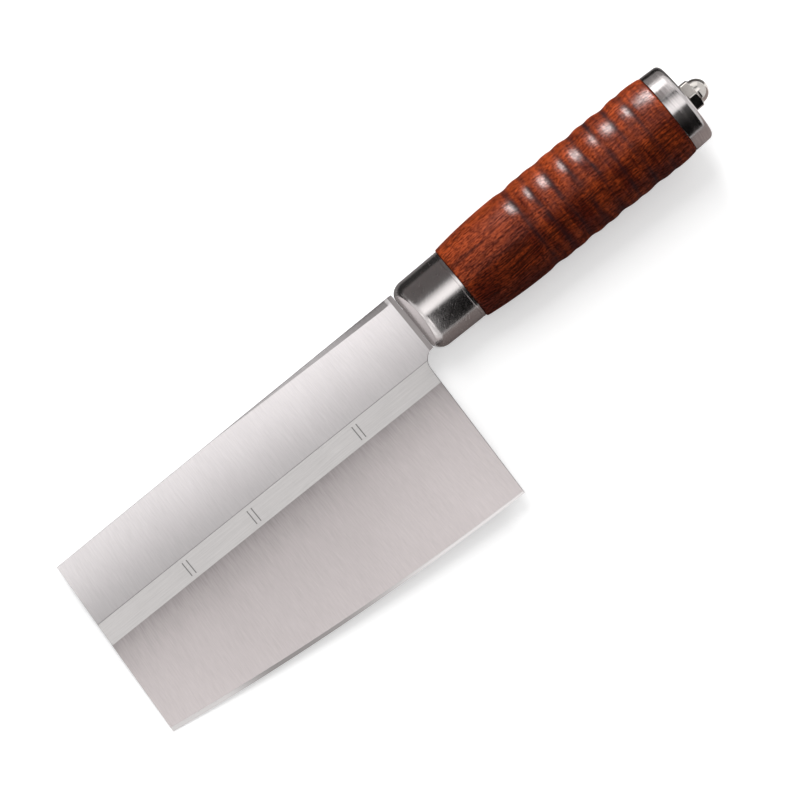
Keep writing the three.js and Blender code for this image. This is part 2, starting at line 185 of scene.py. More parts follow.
def spun(outline, turn, radius_at=None):
    """Points of an outline turned round the handle's axis, row by row."""
    around = len(turn)
    along = np.repeat(outline[:, :1], around, axis=1)
    radius = np.repeat(outline[:, 1:2], around, axis=1)
    if radius_at is not None:
        radius = radius_at(along, radius, turn[None, :])
    rows = np.stack([along, radius * np.cos(turn), radius * np.sin(turn)], axis=-1)
    return rows.reshape(-1, 3)


def add_turned(name, outline, around, radius_at=None, **where):
    points = spun(outline, full_turn(around), radius_at)
    return add_piece(name, points, ring_faces(len(outline), around), **where)


def thread_radius(along, turn, play=0.0):
    """The right-hand thread's surface, or the nut's with some play."""
    phase = (along / PITCH - turn / (2 * math.pi)) % 1
    return THREAD_RADIUS + play - THREAD_DEPTH * smooth(np.abs(phase - 0.5) * 3.2 - 0.3)


# Finishes
class Wire:
    """A node's output that takes part in sums."""

    def __init__(self, nodes, socket):
        self.nodes, self.socket = nodes, socket

    def sum(self, operation, first, second):
        return self.nodes.node("Math", {"operation": operation}, {0: first, 1: second})

    def __add__(self, other):
        return self.sum("ADD", self, other)

    def __radd__(self, other):
        return self.sum("ADD", other, self)

    def __sub__(self, other):
        return self.sum("SUBTRACT", self, other)

    def __rsub__(self, other):
        return self.sum("SUBTRACT", other, self)

    def __mul__(self, other):
        return self.sum("MULTIPLY", self, other)

    def __rmul__(self, other):
        return self.sum("MULTIPLY", other, self)


class Nodes:
    """A node tree that is written as sums of wires."""

    def __init__(self, tree):
        self.tree = tree

    def node(self, kind, settings=None, inputs=None, out=0):
        """One node of this kind: its settings first, then its sockets' values or wires."""
        made = self.tree.nodes.new("ShaderNode" + kind)
        for name, value in (settings or {}).items():
            setattr(made, name, value)
        for socket, value in (inputs or {}).items():
            if isinstance(value, Wire):
                self.tree.links.new(value.socket, made.inputs[socket])
            else:
                made.inputs[socket].default_value = value
        return Wire(self, made.outputs[out])

    def rays(self):
        """Whether a ray comes from the eye, from metal or through glass."""
        kinds = ("Camera", "Glossy", "Transmission")
        return [self.node("LightPath", out="Is " + kind + " Ray") for kind in kinds]


class Finish(Nodes):
    """A material with its places in the knife's axes, in millimetres."""

    def __init__(self, name, **constants):
        self.material = bpy.data.materials.new(name)
        self.material.use_nodes = True
        super().__init__(self.material.node_tree)
        self.shader = self.tree.nodes["Principled BSDF"]
        for socket, value in constants.items():
            self.shader.inputs[socket.replace("_", " ")].default_value = value
        place = self.node("TexCoord", out="Object")
        away = self.node("VectorMath", {"operation": "SUBTRACT"}, {0: place, 1: ferrule_point})
        self.x, self.y, self.z = (
            self.node("VectorMath", {"operation": "DOT_PRODUCT"}, {0: away, 1: axis / MM}, out="Value")
            for axis in (handle_axis, spine_axis, flank_axis)
        )
        self.place = self.node("CombineXYZ", inputs={0: self.x, 1: self.y, 2: self.z})

    def grain(self, stretch, detail=3.0, rough=0.55, shift=(0, 0, 0), distort=0.0):
        """Noise of so many waves per millimetre along each axis, from 0 to 1."""
        places = {0: self.place, 1: stretch, 2: shift}
        moved = self.node("VectorMath", {"operation": "MULTIPLY_ADD"}, places)
        sockets = {"Vector": moved, "Scale": 1.0, "Detail": detail, "Roughness": rough}
        return self.node("TexNoise", {"noise_dimensions": "3D"}, {**sockets, "Distortion": distort})

    def between(self, value, low, high, start=0.0, stop=1.0):
        """A value taken smoothly from start at low to stop at high."""
        settings = {"interpolation_type": "SMOOTHSTEP"}
        return self.node("MapRange", settings, {"Value": value, 1: low, 2: high, 3: start, 4: stop})

    def mixed(self, share, first, second):
        """A colour between two colours."""
        colours = [c if isinstance(c, Wire) else (*c, 1) for c in (first, second)]
        sockets = {0: share, 6: colours[0], 7: colours[1]}
        return self.node("Mix", {"data_type": "RGBA", "clamp_factor": True}, sockets, out=2)

    def shaded(self, colour, value):
        """A colour made lighter or darker by a value round 1."""
        grey = self.node("CombineColor", inputs={0: value, 1: value, 2: value})
        settings = {"data_type": "RGBA", "blend_type": "MULTIPLY"}
        colour = colour if isinstance(colour, Wire) else (*colour, 1)
        return self.node("Mix", settings, {0: 1.0, 6: colour, 7: grey}, out=2)

    def set(self, socket, wire):
        self.tree.links.new(wire.socket, self.shader.inputs[socket])

    def relief(self, height, depth):
        """Bumps of this depth in millimetres from a height of 0 to 1."""
        sockets = {"Strength": 1.0, "Distance": depth * MM, "Height": height}
        self.set("Normal", self.node("Bump", inputs=sockets))


def blade_places(steel):
    """How far a place lies below the band's upper rim and above the bevel."""
    share = (steel.x + EDGE_REACH) * (1 / (EDGE_REACH - HEEL_REACH))
    depth = SPINE_RISE - steel.y - BAND_TIP - share * (BAND_HEEL - BAND_TIP)
    edge_depth = TIP_DEPTH + share * (HEEL_DEPTH - TIP_DEPTH) + share * (1 - share) * (4 * BELLY)
    above_bevel = edge_depth - SPINE_RISE + steel.y - BEVEL_TIP - share * (BEVEL_HEEL - BEVEL_TIP)
    return depth, above_bevel


def face_colour(steel, depth, below, coarse):
    """The ground faces with painted light: the upper one painted brightest at the spine and toward the heel, the
    lower one painted darkest under the band.
    """
    painted_heel_light = steel.between(steel.x, -EDGE_REACH, -HEEL_REACH, 0.93, 1.06)
    painted_spine_light = steel.between(depth, -BAND_TIP - 4, 4, 1.26, 0.69) * painted_heel_light
    away = depth - BAND_WIDE + (coarse - 0.5) * 4
    # Painted shade: the lower face is darkest just under the band, a little darker over the front half and lighter
    # again at the tip
    fall = 0.54 + steel.between(away, -2, 5) * 0.13
    fall = fall + steel.between(away, -4, 16) * 0.2 + steel.between(away, -8, 46) * 0.17
    fall = fall * steel.between(steel.x, -70, -18, 0.93, 1.0) + steel.between(steel.x, -135, -95, 0.055, 0)
    return steel.mixed(below, steel.shaded(UPPER_FACE, painted_spine_light), steel.shaded(LOWER_FACE, fall))


def bevel_colour(steel):
    """The honed bevel, with a painted highlight at the tip and the heel and painted shade between them."""
    bevel_shade_span = steel.between(steel.x, -128, -106) * steel.between(steel.x, -86, -38, 1, 0)
    bevel_glints = steel.mixed(steel.between(steel.x, -132, -112), TIP_BEVEL_GLINT, HEEL_BEVEL_GLINT)
    return steel.mixed(bevel_shade_span, bevel_glints, SHADED_BEVEL)


def divider_lines(steel, depth):
    """Pairs of thin lines across the band, short of both its rims."""
    lines = 0
    for middle in DIVIDER_PLACES:
        for side in (-DIVIDER_HALF, DIVIDER_HALF):
            off = steel.node("Math", {"operation": "ABSOLUTE"}, {0: steel.x - (middle + side)})
            lines = lines + steel.between(off, 0.1, 0.26, 1, 0)
    foot = BAND_WIDE - DIVIDER_INSET
    lines = lines * steel.between(depth, DIVIDER_INSET, DIVIDER_INSET + DIVIDER_FADE)
    return lines * steel.between(depth, foot - DIVIDER_FADE, foot, 1, 0)


def blade_finish():
    """Ground steel: brushed across its faces and along the band, with plain divider lines on the band, and painted
    highlights and shade on its faces, bevel, neck end and band rim.
    """
    steel = Finish("ground_blade_steel", Metallic=1.0)
    depth, above_bevel = blade_places(steel)
    below = steel.between(depth, BAND_WIDE - RIM_FADE, BAND_WIDE + RIM_FADE)
    on_band = steel.between(depth, -RIM_FADE, RIM_FADE) * (1 - below)
    honed = steel.between(above_bevel, -RIM_FADE, RIM_FADE, 1, 0)
    fan = (steel.x + 60) * 0.0012
    steel.place = steel.node("CombineXYZ", inputs={0: steel.x + steel.y * fan, 1: steel.y, 2: steel.z})
    coarse = steel.grain((2.1, 0.12, 0.2), detail=2, rough=0.6)
    fine = steel.grain((5.5, 0.3, 0.5), detail=3, rough=0.7)
    haze = steel.grain((0.05, 0.035, 0.05), detail=2)
    lengthwise = steel.grain((0.09, 4.0, 0.5), detail=3, rough=0.7)
    brushed = coarse * 0.42 + fine * 0.58
    streak = brushed + (lengthwise - brushed) * on_band
    streak = streak + (0.5 - streak) * honed * 0.8
    bright = steel.mixed(on_band, face_colour(steel, depth, below, coarse), BAND_FACE)
    bright = steel.mixed(honed, bright, bevel_colour(steel))
    # Painted shade over the plunge at the rear of the blade, next to the ferrule
    neck_end_shade = steel.between(steel.x, -PLUNGE_WIDE - 0.3, -PLUNGE_WIDE - 0.2)
    bright = steel.mixed(neck_end_shade, bright, NECK_END_SHADE)
    # Painted shade line along the band's upper rim, where the band steps down
    rim = steel.between(depth, -0.32, -0.16) * steel.between(depth, -0.06, 0.06, 1, 0)
    lines = divider_lines(steel, depth)
    colour = steel.shaded(bright, 0.73 + streak * 0.44 + haze * 0.1)
    colour = steel.mixed(rim * 0.45, colour, BAND_RIM_SHADE)
    colour = steel.mixed(lines * 0.72, colour, DIVIDER)
    steel.set("Base Color", colour)
    steel.set("Roughness", 0.27 + streak * 0.1 + on_band * 0.07 + lines * 0.2 - honed * 0.04)
    steel.relief(streak, 0.006)
    return steel.material


def ferrule_finish():
    """Buffed steel with the short slanting scratches of hand polishing."""
    steel = Finish("buffed_ferrule_steel", Metallic=1.0)
    swirl = steel.grain((0.9, 0.35, 0.35), detail=4, rough=0.65, distort=0.6)
    leaning = {0: steel.x * 0.6 + steel.y * 0.7, 1: steel.y * 0.6 - steel.x * 0.7, 2: steel.z}
    steel.place = steel.node("CombineXYZ", inputs=leaning)
    scratch = steel.grain((0.25, 5.0, 0.6), detail=4, rough=0.75)
    haze = steel.grain((0.12, 0.12, 0.12), detail=2)
    steel.set("Base Color", steel.shaded(FERRULE_STEEL, 0.83 + scratch * 0.22 + haze * 0.1))
    steel.set("Roughness", 0.16 + steel.between(scratch, 0.42, 0.66) * 0.07 + swirl * 0.08)
    steel.relief(scratch * 0.5 + swirl * 0.5, 0.002)
    return steel.material


def cap_finish():
    """Steel brushed round the handle's axis on a lathe."""
    steel = Finish("lathe_brushed_cap_steel", Metallic=1.0)
    wander = steel.grain((0.02, 0.08, 0.08), detail=2, distort=0.3)
    steel.place = steel.node("CombineXYZ", inputs={0: steel.x + wander * 1.4, 1: steel.y, 2: steel.z})
    turned = steel.grain((3.2, 0.05, 0.05), detail=3, rough=0.7)
    broad = steel.grain((0.9, 0.03, 0.03), detail=2)
    steel.set("Base Color", steel.shaded(CAP_STEEL, 0.44 + turned * 1.05 + broad * 0.06))
    steel.set("Roughness", 0.11 + steel.between(turned, 0.36, 0.62) * 0.13)
    steel.relief(turned * 0.7 + broad * 0.3, 0.006)
    return steel.material


def nut_finish():
    """Bright nickel plate with a few fine marks."""
    plate = Finish("bright_nut_plate", Metallic=1.0)
    marks = plate.grain((2.5, 2.5, 2.5), detail=4, rough=0.7)
    cloud = plate.grain((0.4, 0.4, 0.4), detail=2)
    plate.set("Base Color", plate.mixed(cloud, PLATE_DARK, PLATE_LIGHT))
    plate.set("Roughness", 0.07 + marks * 0.1)
    plate.relief(marks, 0.004)
    return plate.material


def washer_finish():
    steel = Finish("stamped_washer_steel", Metallic=1.0)
    marks = steel.grain((2.0, 3.5, 3.5), detail=4, rough=0.65)
    steel.set("Base Color", steel.shaded(WASHER_STEEL, 0.8 + marks * 0.35))
    steel.set("Roughness", 0.25 + marks * 0.2)
    steel.relief(marks, 0.01)
    return steel.material


def tang_finish():
    steel = Finish("drawn_tang_steel", Metallic=1.0)
    drawn = steel.grain((0.05, 3.0, 3.0), detail=4, rough=0.65)
    stain = steel.grain((0.25, 0.25, 0.25), detail=4)
    steel.set("Base Color", steel.mixed(stain, TANG_DARK, TANG_LIGHT))
    steel.set("Roughness", 0.3 + drawn * 0.25)
    steel.relief(drawn, 0.01)
    return steel.material


def resin_finish():
    resin = Finish("cast_resin")
    cloud = resin.grain((0.3, 0.3, 0.3), detail=4)
    bubbles = resin.node("TexVoronoi", {"feature": "F1"}, {"Vector": resin.place, "Scale": 0.8})
    resin.set("Base Color", resin.mixed(cloud, RESIN_DARK, RESIN_LIGHT))
    resin.set("Roughness", 0.25 + cloud * 0.2)
    resin.relief(resin.between(bubbles, 0.1, 0.3), 0.05)
    return resin.material


def wood_finish():
    """Oiled red-brown hardwood: dark pores along the grain, a curly figure across it, painted shade on the lower
    side and in the grooves.
    """
    wood = Finish("oiled_grip_wood", Specular_IOR_Level=0.0, Coat_Roughness=0.31, Coat_IOR=1.5)
    bend = wood.grain((0.025, 0.06, 0.06), detail=2) - 0.5
    wood.place = wood.node("CombineXYZ", inputs={0: wood.x, 1: wood.y + bend * 5, 2: wood.z + bend * 4})
    cloud = wood.grain((0.07, 0.12, 0.12), detail=3)
    figure = wood.grain((0.62, 0.07, 0.07), detail=4, rough=0.65)
    pores = wood.grain((0.06, 2.0, 2.0), detail=2, rough=0.7)
    flecks = wood.grain((0.75, 2.3, 2.3), detail=2, rough=0.7, shift=(7, 3, 5))
    streaks = wood.grain((0.014, 0.3, 0.3), detail=2, shift=(3, 9, 1))
    ringed = wood.between(wood.x, GRIP_X + 19, GRIP_X + 31)
    # Painted shade: the grip's lower side is darker, its pores show more and its coat is thinner there; the rest
    # of the tone is random cloud and figure
    shaded_low_side = wood.between(wood.y + bend * 12, -9, 10, 1, 0)
    tone_and_shade = shaded_low_side * 0.5 + wood.between(cloud, 0.32, 0.68) * 0.5 + (figure - 0.5) * ringed * 3
    red = wood.mixed(tone_and_shade, WOOD_LIGHT, WOOD_DARK)
    line = wood.between(pores, 0.43, 0.6) * (0.55 + shaded_low_side * 0.35 - ringed * 0.15)
    fleck = wood.between(flecks, 0.42, 0.62) * (0.78 - ringed * 0.1)
    red = wood.mixed(wood.between(streaks, 0.55, 0.7) * 0.6, red, WOOD_STREAK)
    red = wood.mixed(line, red, WOOD_PORE)
    red = wood.mixed(fleck, red, WOOD_FLECK)
    groove = wood.node("Attribute", {"attribute_name": "groove"}, out="Fac")
    # Painted shade at the bottoms of the grooves, varying with the cloud
    red = wood.mixed(groove * wood.between(cloud, 0.3, 0.62, 0.35, 0.95), red, WOOD_GROOVE_SHADE)
    wood.set("Base Color", red)
    wood.set("Roughness", 0.5 + fleck * 0.2)
    wood.set("Coat Weight", 0.43 - fleck * 0.32 - line * 0.16 - shaded_low_side * 0.1)
    wood.relief(1 - line * 0.6 - fleck * 0.6, 0.06)
    return wood.material


# Blade
def blade_right(y):
    """The blade's rear end at a height: neck, fillet and heel."""
    corner = SPINE_RISE - NECK_CORNER
    if y > corner:
        return -NECK_GAP - NECK_CORNER + math.sqrt(max(NECK_CORNER**2 - (y - corner) ** 2, 0))
    if y >= NECK_Y:
        return -NECK_GAP
    centre_y = NECK_Y - NECK_RADIUS
    if y > centre_y + NECK_RADIUS * math.sin(HEEL_LEAN):
        return -NECK_GAP - NECK_FLAT - math.sqrt(max(NECK_RADIUS**2 - (y - centre_y) ** 2, 0))
    return -HEEL_REACH + (y - HEEL_Y) * math.tan(HEEL_LEAN)


def border(gap):
    """How much a rounded border falls away at this distance from it."""
    short = np.clip(BORDER_ROUND - gap, 0, BORDER_ROUND)
    return BORDER_ROUND - np.sqrt(BORDER_ROUND**2 - short**2)


def blade_lines():
    """Rows of the blade from spine to edge, each a depth and half thickness at a share of the length."""
    def body(f):
        return lerp(TIP_THICK, HEEL_THICK, f) / 2

    def broken(f):
        return BAND_EASE + SPINE_BREAK * min(max(2 * f - 1, 0), 1)

    def band(f):
        return lerp(BAND_TIP, BAND_HEEL, f)

    def edge(f):
        return lerp(TIP_DEPTH, HEEL_DEPTH, f) + 4 * BELLY * f * (1 - f)

    def bevel(f):
        return edge(f) - lerp(BEVEL_TIP, BEVEL_HEEL, f)

    def upper(f, depth):
        t = depth / band(f)
        drop = SPINE_FALL * max(broken(f) - depth, 0) * (broken(f) - BAND_EASE) / broken(f)
        return body(f) - BAND_STEP - 4 * t * (1 - t) * FACE_HOLLOW - drop

    def flat_from(f):
        return max(broken(f), 0.5)

    def upper_row(place):
        return lambda f: (place(f), upper(f, place(f)))

    lines = [upper_row(lambda f, q=q: q * SPINE_BREAK) for q in (0, 0.02, 0.05, 0.09)]
    for q in (0.3, 0.5, 0.7, 0.9, 1.0):
        lines.append(upper_row(lambda f, q=q: lerp(BORDER_ROUND, flat_from(f), q)))
    rear = (EDGE_REACH - NECK_GAP) / (EDGE_REACH - HEEL_REACH)
    start, stop = broken(rear), band(rear) - BAND_EASE
    depths = [start + 0.3, 4.0, SPINE_RISE - TANG_HALF, 8.5, 11, 13.2, 15.3, SPINE_RISE + TANG_HALF]
    depths += [19.2, 21, NECK_DEPTH]
    for angle in (84, 78, 71, 64, 57, 50, 43, 37):
        depths.append(SPINE_RISE - (NECK_Y - NECK_RADIUS + NECK_RADIUS * math.sin(math.radians(angle))))
    depths.append(stop)
    for t in [(depth - start) / (stop - start) for depth in depths]:
        lines.append(upper_row(lambda f, t=t: lerp(flat_from(f), band(f) - BAND_EASE, t)))
    for q in (0, 0.01, 0.05, 0.09, 0.15, 0.22, 0.3, 0.45, 0.62, 0.8, 0.94, 0.99):
        lines.append(lambda f, q=q: (band(f) + BAND_WIDE * q, body(f)))
    for t in [0, 0.002, 0.006] + [((i + 0.5) / 30) ** 1.25 for i in range(30)] + [0.997, 1]:

        def hollow(f, t=t):
            half = lerp(BEVEL_THICK / 2, body(f), (1 - t) ** 3)
            return lerp(band(f) + BAND_WIDE, bevel(f), t), half

        lines.append(hollow)
    for t in (0.05, 0.35, 0.65, 0.95, 1):
        lines.append(lambda f, t=t: (lerp(bevel(f), edge(f), t), lerp(BEVEL_THICK, EDGE_THICK, t) / 2))
    return lines


# Steps along a row of the blade: behind the tip, in the middle, ahead of the plunge, over it and at the rear
TIP_STEPS = np.array([0, 0.03, 0.08, 0.14, 0.2, 0.5, 1.2, 3, 6])
MIDDLE_STEPS = np.linspace(0, 1, 58)[1:-2]
AHEAD_STEPS = np.array([9, 6.5, 4, 2.3, 1.1, 0.45, 0.12])
PLUNGE_STEPS = np.array([1, 0.93, 0.8, 0.65, 0.5, 0.35, 0.2])
REAR_STEPS = np.array([0.2, 0.14, 0.08, 0.03, 0])


def blade_row(line):
    """One row of the upper flank from the tip to the rear, each point with its half thickness as z."""
    def at(x):
        depth, half = line((x + EDGE_REACH) / (EDGE_REACH - HEEL_REACH))
        return SPINE_RISE - depth, half

    left, right = -EDGE_REACH, -NECK_GAP
    for _ in range(12):
        left = -EDGE_REACH + TIP_LEAN * (at(left)[0] - SPINE_RISE + TIP_DEPTH) / TIP_DEPTH
        right = 0.5 * (right + blade_right(at(right)[0]))
    level = SPINE_RISE - at(right)[0]
    flare = max(SPINE_BREAK + PLUNGE_ROUND - level, 0) if level > SPINE_BREAK else PLUNGE_ROUND
    plunge = PLUNGE_WIDE + PLUNGE_ROUND - math.sqrt(PLUNGE_ROUND**2 - flare**2)
    over = lerp(REAR_STEPS[0], plunge, PLUNGE_STEPS)
    behind = np.concatenate([plunge + AHEAD_STEPS, over, REAR_STEPS])
    between = lerp(left + TIP_STEPS[-1], right - plunge - AHEAD_STEPS[0], MIDDLE_STEPS)
    row = []
    for x in np.concatenate([left + TIP_STEPS, between, right - behind]):
        y, half = at(x)
        half = lerp(half, STOCK / 2, min(max((x + NECK_GAP + plunge) / plunge, 0), 1))
        half -= border(x - left) + border(SPINE_RISE - y)
        if y < NECK_Y - 0.5:
            half -= border(right - x)
        row.append((x, y, max(half, EDGE_THICK / 2)))
    return row


def add_blade(finish):
    """The ground plate with its neck, and the flat tang behind it."""
    front = [blade_row(line) for line in blade_lines()]
    count, stations = len(front), len(front[0])
    points = []
    for j in range(stations):
        points += [front[r][j] for r in range(count)]
        points += [(x, y, -z) for x, y, z in (front[r][j] for r in reversed(range(count)))]
    loop = 2 * count
    faces = ring_faces(stations, loop, closed=False)
    rear = [row[-1] for row in front]
    tang_rows = [r for r in range(count) if abs(rear[r][1]) < TANG_HALF + 0.02 and rear[r][0] > -2 * FIT]
    first, last = tang_rows[0], tang_rows[-1]
    base = (stations - 1) * loop
    for r in range(count - 1):
        faces.append((r, r + 1, loop - 2 - r, loop - 1 - r))
        if not first <= r < last:
            faces.append((base + r, base + r + 1, base + loop - 2 - r, base + loop - 1 - r))
    rim = [base + r for r in range(first, last + 1)]
    rim += [base + loop - 1 - r for r in range(last, first - 1, -1)]
    far = len(points)
    points += [(TANG_REACH, points[i][1], points[i][2]) for i in rim]
    for k in range(len(rim)):
        after = (k + 1) % len(rim)
        faces.append((rim[k], rim[after], far + after, far + k))
    for k in range(last - first):
        faces.append((far + k, far + k + 1, far + len(rim) - 2 - k, far + len(rim) - 1 - k))
    return add_piece(
        "ground_blade", points, faces,
        node="blade", body="knife", slot="blade_steel", finish=finish, sharp=24,
    )


# Ferrule
def nose_facet(rho, turn):
    """How far the roof of the nose lies behind its ridge."""
    return max(abs(rho * math.sin(turn)) - STOCK / 2, 0) * math.tan(NOSE_SLOPE)


def nose_round(rho):
    """How far the rounded shoulder of the nose lies behind its front."""
    out = min(max(rho - NOSE_FLAT, 0) / NOSE_DEEP, 1)
    return NOSE_LONG * (1 - math.sqrt(1 - out * out))


def nose_meet(turn):
    """The radius at which the roof runs into the rounded shoulder."""
    low, high = NOSE_FLAT, FERRULE_FRONT
    for _ in range(40):
        middle = (low + high) / 2
        low, high = (middle, high) if nose_round(middle) < nose_facet(middle, turn) else (low, middle)
    return low


def ferrule_side():
    """The outline of the ferrule's side behind its nose, with the score and the lip at its rear."""
    score = FERRULE_LONG - LIP_LONG
    side = [(6.5, 0), (9, 0), (12, 0), (15, 0)]
    side += [(score - 0.22, 0), (score - 0.12, -0.03), (score - 0.04, -SCORE_DEEP)]
    side += [(score + 0.04, -SCORE_DEEP), (score + 0.12, -0.03), (score + 0.22, 0), (score + 0.7, 0)]
    side += [(FERRULE_LONG - 0.25, 0), (FERRULE_LONG - 0.1, -0.04), (FERRULE_LONG, -0.2)]
    taper = score - NOSE_LONG
    return [(x, lerp(FERRULE_FRONT, FERRULE_REAR, (x - NOSE_LONG) / taper) + sink) for x, sink in side]


def ferrule_line(turn, slot_y, slot_z):
    """The ferrule's outline at one turn: from the slot over the nose to the rear, and back inside."""
    c, s = abs(math.cos(turn)), abs(math.sin(turn))
    inner = min(slot_y / max(c, 1e-9), slot_z / max(s, 1e-9))
    meet = nose_meet(turn)
    line = []
    for rho in lerp(inner, meet - NOSE_EASE, np.linspace(0, 1, 9)):
        line.append((nose_facet(rho, turn), rho))
    before = np.array([nose_facet(meet - NOSE_EASE, turn), meet - NOSE_EASE])
    kink = np.array([nose_facet(meet, turn), meet])
    reach = min(meet + NOSE_EASE, lerp(meet, FERRULE_FRONT, 0.35))
    after = np.array([nose_round(reach), reach])
    for t in (0.2, 0.4, 0.6, 0.8, 1):
        line.append(tuple((1 - t) ** 2 * before + 2 * t * (1 - t) * kink + t * t * after))
    begin = math.asin(min((reach - NOSE_FLAT) / NOSE_DEEP, 1))
    for angle in lerp(begin, math.pi / 2, np.linspace(0, 1, 19)[1:]):
        line.append((NOSE_LONG * (1 - math.cos(angle)), NOSE_FLAT + NOSE_DEEP * math.sin(angle)))
    wall = FERRULE_FRONT - FERRULE_WALL
    return line + ferrule_side() + [(FERRULE_LONG, wall), (FERRULE_FACE, wall), (FERRULE_FACE, inner)]


def add_ferrule(finish):
    """A closed thimble with a slot for the tang, whose nose falls away from the blade on both sides."""
    slot_y, slot_z = TANG_HALF + FIT, STOCK / 2 + FIT
    corner = math.atan2(slot_z, slot_y)
    turns = np.concatenate([np.linspace(0, corner, 9)[:-1], np.linspace(corner, math.pi / 2, 41)[:-1]])
    turns = np.concatenate([turns, math.pi - np.concatenate([turns, [math.pi / 2]])[:0:-1]])
    turns = np.concatenate([turns, turns + math.pi])
    columns = []
    for turn in turns:
        line = ferrule_line(turn, slot_y, slot_z)
        columns.append([(x, rho * math.cos(turn), rho * math.sin(turn)) for x, rho in line])
    rows = np.array(columns).transpose(1, 0, 2)
    return add_piece(
        "nose_ferrule", rows.reshape(-1, 3), ring_faces(rows.shape[0], rows.shape[1]),
        node="front_ferrule", body="knife", slot="ferrule_steel", finish=finish,
    )


# Grip
def dip(x, middle, groove):
    depth, width = groove
    away = np.minimum(np.abs(x - middle) / width, 0.5)
    return depth / 2 * (1 + np.cos(2 * math.pi * away))


def ring_dips(x):
    total = 0
    for i in range(RING_COUNT):
        middle = RING_START + i * RING_PITCH
        total = total + dip(x, middle, DEEP_GROOVE) + dip(x, middle + RING_PITCH / 2, SLIM_GROOVE)
    return total


def valley(x):
    """How near a place along the grip lies to the bottom of a groove, from 0 to 1."""
    step = (x - RING_START) % (RING_PITCH / 2)
    away = min(step, RING_PITCH / 2 - step)
    inside = RING_START - 2 < x < RING_START + (RING_COUNT - 0.3) * RING_PITCH
    return max(1 - away / 1.5, 0) if inside else 0


def grip_radius(x):
    rise = 1 - (1 - np.clip(x / SWELL_LONG, 0, 1)) ** 2.2
    fill = np.clip((x - SWELL_LONG) / (GRIP_LONG - TAIL_ROUND - SWELL_LONG), 0, 1)
    fall = np.clip((x - GRIP_LONG + TAIL_ROUND) / TAIL_ROUND, 0, 1) ** 2
    plain = lerp(GRIP_FRONT, GRIP_SWELL, rise) + (GRIP_FULL - GRIP_SWELL) * fill
    return plain - (GRIP_FULL - GRIP_TAIL) * fall


def add_grip(finish):
    """The turned grip with hand-cut rings: grooves wander a little and differ in depth round the handle."""
    around = 176
    inner = FERRULE_FRONT - FERRULE_WALL - FIT
    tail = CAP_FRONT - CAP_WALL - FIT
    bore, pocket = ROD_RADIUS + FIT, RESIN_RADIUS + FIT
    wood_end = CAP_END - CAP_FACE - FIT
    tenon = FERRULE_FACE + FIT
    front, back = -GRIP_CREEP, GRIP_LONG + GRIP_CREEP
    xs = np.concatenate([np.linspace(0.3, 24, 40), np.arange(24.4, GRIP_LONG - 0.35, 0.36)])
    outline = [(tenon, pocket), (tenon, inner - TENON_BEVEL), (tenon + TENON_BEVEL, inner)]
    outline.append((GRIP_X + front, inner))
    outline += [(GRIP_X + front, GRIP_FRONT - 0.42), (GRIP_X + front + 0.1, GRIP_FRONT - 0.16)]
    begin = len(outline)
    outline += [(GRIP_X + x, 0) for x in xs]
    end = len(outline)
    outline += [(GRIP_X + back - 0.12, GRIP_TAIL - 0.14), (GRIP_X + back, GRIP_TAIL - 0.42)]
    outline += [(GRIP_X + back, tail), (wood_end - TENON_BEVEL, tail), (wood_end, tail - TENON_BEVEL)]
    outline += [(wood_end, bore), (RESIN_REACH + FIT, bore), (RESIN_REACH + FIT, pocket)]
    outline = np.array(outline)
    grooves = np.zeros((len(outline), around))

    def worked(along, radius, turn):
        for i in range(begin, end):
            x = xs[i - begin]
            cut = smooth((x - 20) / 8) * smooth((GRIP_LONG - x) / 6)
            for j in range(around):
                y, z = math.cos(turn[0, j]), math.sin(turn[0, j])
                wander = RING_WANDER * noise.noise(Vector((x * 0.045, y * 1.1, z * 1.1 + 4)))
                depth = 1 + RING_UNEVEN * noise.noise(Vector((x * 0.11 + 9, y * 1.6, z * 1.6)))
                rough = TOOL_MARKS * noise.noise(Vector((x * 0.22, y * 2.6, z * 2.6 + 17)))
                cutting = float(ring_dips(x + wander * cut)) * depth
                grooves[i, j] = valley(x + wander * cut) * depth
                radius[i, j] = float(grip_radius(x)) - cutting + rough * cut
        return radius

    points = spun(outline, full_turn(around), worked)
    piece = add_piece(
        "ringed_grip", points, ring_faces(len(outline), around),
        node="wood_grip", body="knife", slot="grip_wood", finish=finish, sharp=40,
    )
    shade = piece.data.attributes.new("groove", "FLOAT", "POINT")
    shade.data.foreach_set("value", grooves.ravel().astype(np.float32))
    return piece


# Cap, washer, nut and tang
def add_cap(finish):
    tail = CAP_FRONT - CAP_WALL
    hole = THREAD_RADIUS + FIT
    bed = CAP_END - WASHER_THICK - FIT / 2
    crown = []
    for t in np.linspace(0, 1, 10)[1:]:
        radius = lerp(CAP_REAR - CAP_CORNER, SEAT_RADIUS, t)
        crown.append((CAP_END - CAP_CROWN * (1 - t) ** 2, radius, 0))
    corner = []
    for angle in np.linspace(0, math.pi / 2, 13):
        x = CAP_END - CAP_CROWN - CAP_CORNER + CAP_CORNER * math.sin(angle)
        corner.append((x, CAP_REAR - CAP_CORNER + CAP_CORNER * math.cos(angle), 0))
    outline = [(CAP_X, tail, 0), (CAP_X, CAP_FRONT, 0.25), (CAP_X + 2.5, lerp(CAP_FRONT, CAP_REAR, 0.4), 0)]
    outline += corner + crown
    outline += [(CAP_END, WASHER_RADIUS + FIT, 0.1), (bed, WASHER_RADIUS + FIT, 0), (bed, hole, 0.1)]
    outline += [(CAP_END - CAP_FACE, hole, 0), (CAP_END - CAP_FACE, tail, 0)]
    return add_turned(
        "tail_cap", eased(outline), 192,
        node="end_cap", body="knife", slot="cap_steel", finish=finish,
    )


